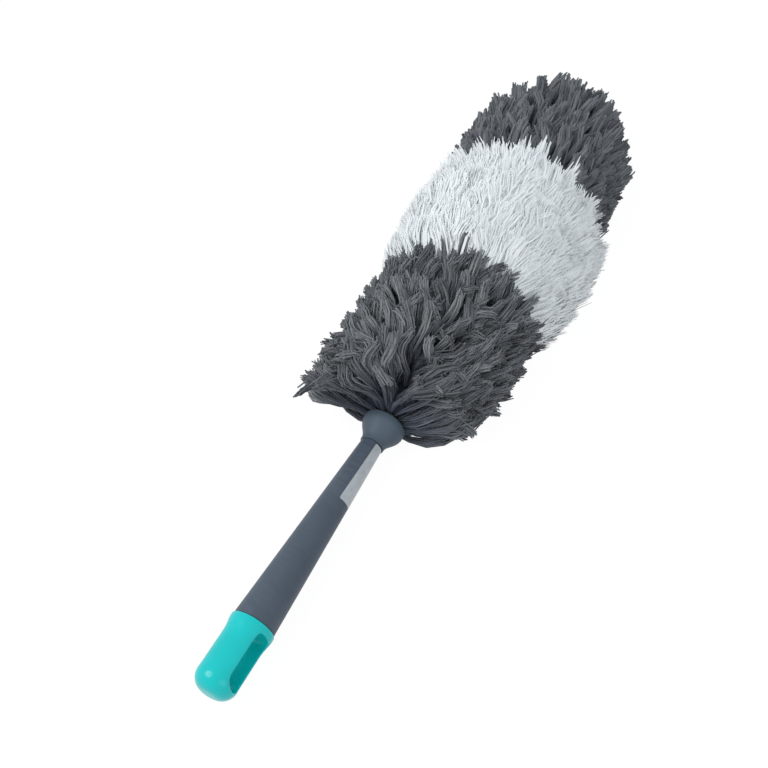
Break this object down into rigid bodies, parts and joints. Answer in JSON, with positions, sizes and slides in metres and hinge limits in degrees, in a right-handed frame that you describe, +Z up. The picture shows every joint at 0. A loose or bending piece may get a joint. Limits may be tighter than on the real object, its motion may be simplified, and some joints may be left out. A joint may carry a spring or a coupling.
{
  "type": "extendable duster",
  "caption": "Extendable microfibre duster: slotted hanging cap, tapering grip with sliding tubes inside, bell collar and a long banded fluffy head, lying on its side.",
  "frame": {"origin": "on the inner end wall of the hanging slot, where a hook bears, on the duster's axis", "axes": "+X from the hanging cap towards the tip of the head, +Z up from the surface that the duster lies on"},
  "size_m": [0.716, 0.1928, 0.1129],
  "materials": {
    "turquoise_plastic": "satin",
    "slate_plastic": "matte",
    "label_film": "satin",
    "tube_steel": "polished",
    "black_plastic": "matte",
    "foam": "matte",
    "grey_microfibre": "matte",
    "white_microfibre": "matte"
  },
  "bodies": {
    "handle": {"hang_cap": "turquoise_plastic", "grip_shell": "slate_plastic", "grip_label": "label_film", "outer_tube": "tube_steel", "outer_tube_plug": "black_plastic", "tube_centring_ring": "black_plastic"},
    "middle_stage": {"middle_tube": "tube_steel", "middle_plug": "black_plastic", "middle_friction_ring": "tube_steel"},
    "inner_stage": {"inner_plug": "black_plastic", "inner_friction_ring": "tube_steel"},
    "head": {"inner_tube": "tube_steel", "neck_plug": "black_plastic", "neck_collar": "slate_plastic", "core_washer": "tube_steel", "core_rod": "tube_steel", "core_foam": "foam", "sleeve_hem": "grey_microfibre", "sleeve_clamp_ring": "black_plastic", "lower_grey_strands": "grey_microfibre", "white_strands": "white_microfibre", "upper_grey_strands": "grey_microfibre", "tip_cap": "black_plastic", "tip_nut": "tube_steel"}
  },
  "joints": [
    {"name": "middle_slide", "type": "slide", "parent": "handle", "child": "middle_stage", "axis": [1, 0, 0], "range_m": [0, 0.129]},
    {"name": "inner_slide", "type": "slide", "parent": "middle_stage", "child": "inner_stage", "axis": [1, 0, 0], "range_m": [0, 0.0955]},
    {"name": "head_turn", "type": "hinge", "parent": "inner_stage", "child": "head", "pos_m": [0.2217, 0, 0], "axis": [1, 0, 0], "continuous": true}
  ]
}
